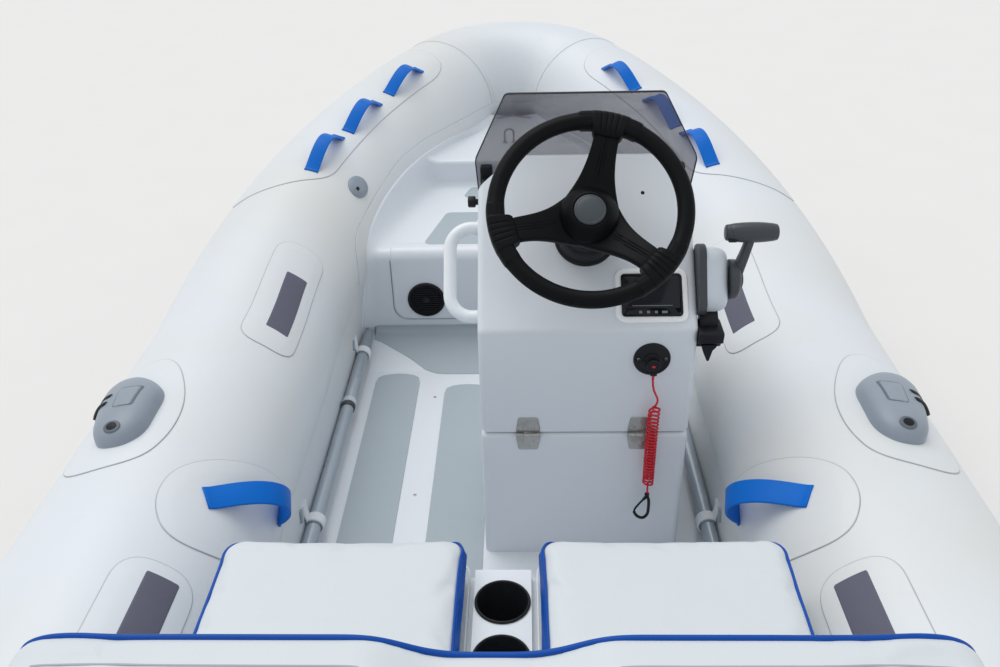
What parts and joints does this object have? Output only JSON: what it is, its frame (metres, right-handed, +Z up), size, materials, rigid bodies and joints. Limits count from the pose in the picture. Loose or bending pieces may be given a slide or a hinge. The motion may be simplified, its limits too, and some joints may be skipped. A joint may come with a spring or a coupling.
{
  "type": "rigid inflatable boat",
  "caption": "Small rigid inflatable boat with a side console, wheel steering, an aft bench with backrest, bow lockers, carrying handles and a tilted outboard motor.",
  "frame": {"origin": "on the centreline at the foot of the transom, on the flat of the keel pad", "axes": "+X towards the bow, +Y to port, +Z up"},
  "size_m": [4.4464, 1.6998, 1.0404],
  "materials": {
    "tube_fabric": "coated tube fabric, satin",
    "hull_gelcoat": "white gelcoat",
    "nonskid": "pale grey non-slip",
    "vinyl": "white upholstery vinyl",
    "backing": "white backing board",
    "black_plastic": "black moulded plastic",
    "dark_grey_plastic": "dark grey moulded plastic",
    "light_grey_plastic": "light grey moulded plastic",
    "smoked_screen": "smoked acrylic sheet",
    "display_glass": "dark display",
    "stainless": "brushed stainless",
    "white_tube_rail": "white coated rail",
    "blue_strap": "bright blue strap",
    "grip_rubber": "dark grey grip rubber",
    "soft_black": "black soft-touch rim",
    "red_cord": "red coiled cord",
    "oar_alloy": "anodised tube",
    "engine_metal": "dark painted casting",
    "engine_cover": "dark painted cover",
    "prop_metal": "painted alloy"
  },
  "bodies": {
    "hull": {"tube_port": "tube_fabric", "tube_starboard": "tube_fabric", "tube_bow": "tube_fabric", "hull_shell": "hull_gelcoat", "deck_floor": "hull_gelcoat", "bow_locker": "hull_gelcoat", "transom": "hull_gelcoat", "seat_base": "hull_gelcoat", "console_base": "hull_gelcoat", "cup_holders": "black_plastic", "cushion_port": "vinyl", "cushion_starboard": "vinyl", "backrest_pad": "vinyl", "backrest_board": "backing", "floor_pads": "nonskid", "locker_pads": "nonskid", "speaker_grille": "black_plastic", "bow_eye": "stainless", "tube_pads": "grip_rubber", "bow_handles_port": "blue_strap", "bow_handles_starboard": "blue_strap", "seat_handle_port": "blue_strap", "seat_handle_starboard": "blue_strap", "oarlock_port": "light_grey_plastic", "oarlock_starboard": "light_grey_plastic", "valves": "light_grey_plastic", "oar_port": "oar_alloy", "oar_starboard": "oar_alloy", "oar_clips": "dark_grey_plastic", "clamp_bracket": "engine_metal", "hinges_lower": "stainless"},
    "console": {"console_top": "hull_gelcoat", "helm_bezel": "black_plastic", "windscreen": "smoked_screen", "screen_clips": "black_plastic", "gauge_bezel": "black_plastic", "gauge_screen": "display_glass", "kill_switch": "black_plastic", "console_knob": "black_plastic", "control_box": "light_grey_plastic", "control_shroud": "black_plastic", "grab_rail": "white_tube_rail", "hinges_upper": "stainless", "lanyard_clip": "black_plastic"},
    "wheel": {"steering_wheel": "soft_black", "wheel_cap": "black_plastic"},
    "throttle": {"throttle_lever": "dark_grey_plastic"},
    "lanyard": {"lanyard_ferrule": "red_cord", "lanyard_lead": "red_cord", "lanyard_coil": "red_cord", "lanyard_tail": "red_cord", "carabiner": "black_plastic"},
    "swivel": {"swivel_bracket": "engine_metal"},
    "engine": {"engine_leg": "engine_metal", "engine_cowl": "engine_cover"},
    "prop": {"propeller": "prop_metal"}
  },
  "joints": [
    {"name": "engine_tilt", "type": "hinge", "parent": "hull", "child": "swivel", "pos_m": [-0.03, 0, 0.535], "axis": [0, 1, 0], "range_deg": [-50, 12]},
    {"name": "engine_steer", "type": "hinge", "parent": "swivel", "child": "engine", "pos_m": [-0.09428, 0, 0.6116], "axis": [0.766, 0, 0.6428], "range_deg": [-32, 32]},
    {"name": "propeller_spin", "type": "hinge", "parent": "engine", "child": "prop", "pos_m": [-0.7971, 0, 0.3913], "axis": [0.6428, 0, -0.766], "continuous": true},
    {"name": "wheel_turn", "type": "hinge", "parent": "console", "child": "wheel", "pos_m": [1.40608, -0.147, 0.80064], "axis": [0.7115, 0, -0.7027], "range_deg": [-615, 615]},
    {"name": "throttle_swing", "type": "hinge", "parent": "console", "child": "throttle", "pos_m": [1.345, -0.408, 0.742], "axis": [0, 1, 0], "range_deg": [-60, 60]},
    {"name": "console_fold", "type": "hinge", "parent": "hull", "child": "console", "pos_m": [1.275, -0.1475, 0.448], "axis": [0, -1, 0], "range_deg": [0, 60]},
    {"name": "lanyard_swing", "type": "hinge", "parent": "console", "child": "lanyard", "pos_m": [1.26, -0.266, 0.5912], "axis": [0, -1, 0], "range_deg": [-60, 0]}
  ],
  "couplings": [
    {"joint": "wheel_turn", "follows": "engine_steer", "ratio": 19.125},
    {"joint": "lanyard_swing", "follows": "console_fold", "ratio": -1}
  ]
}
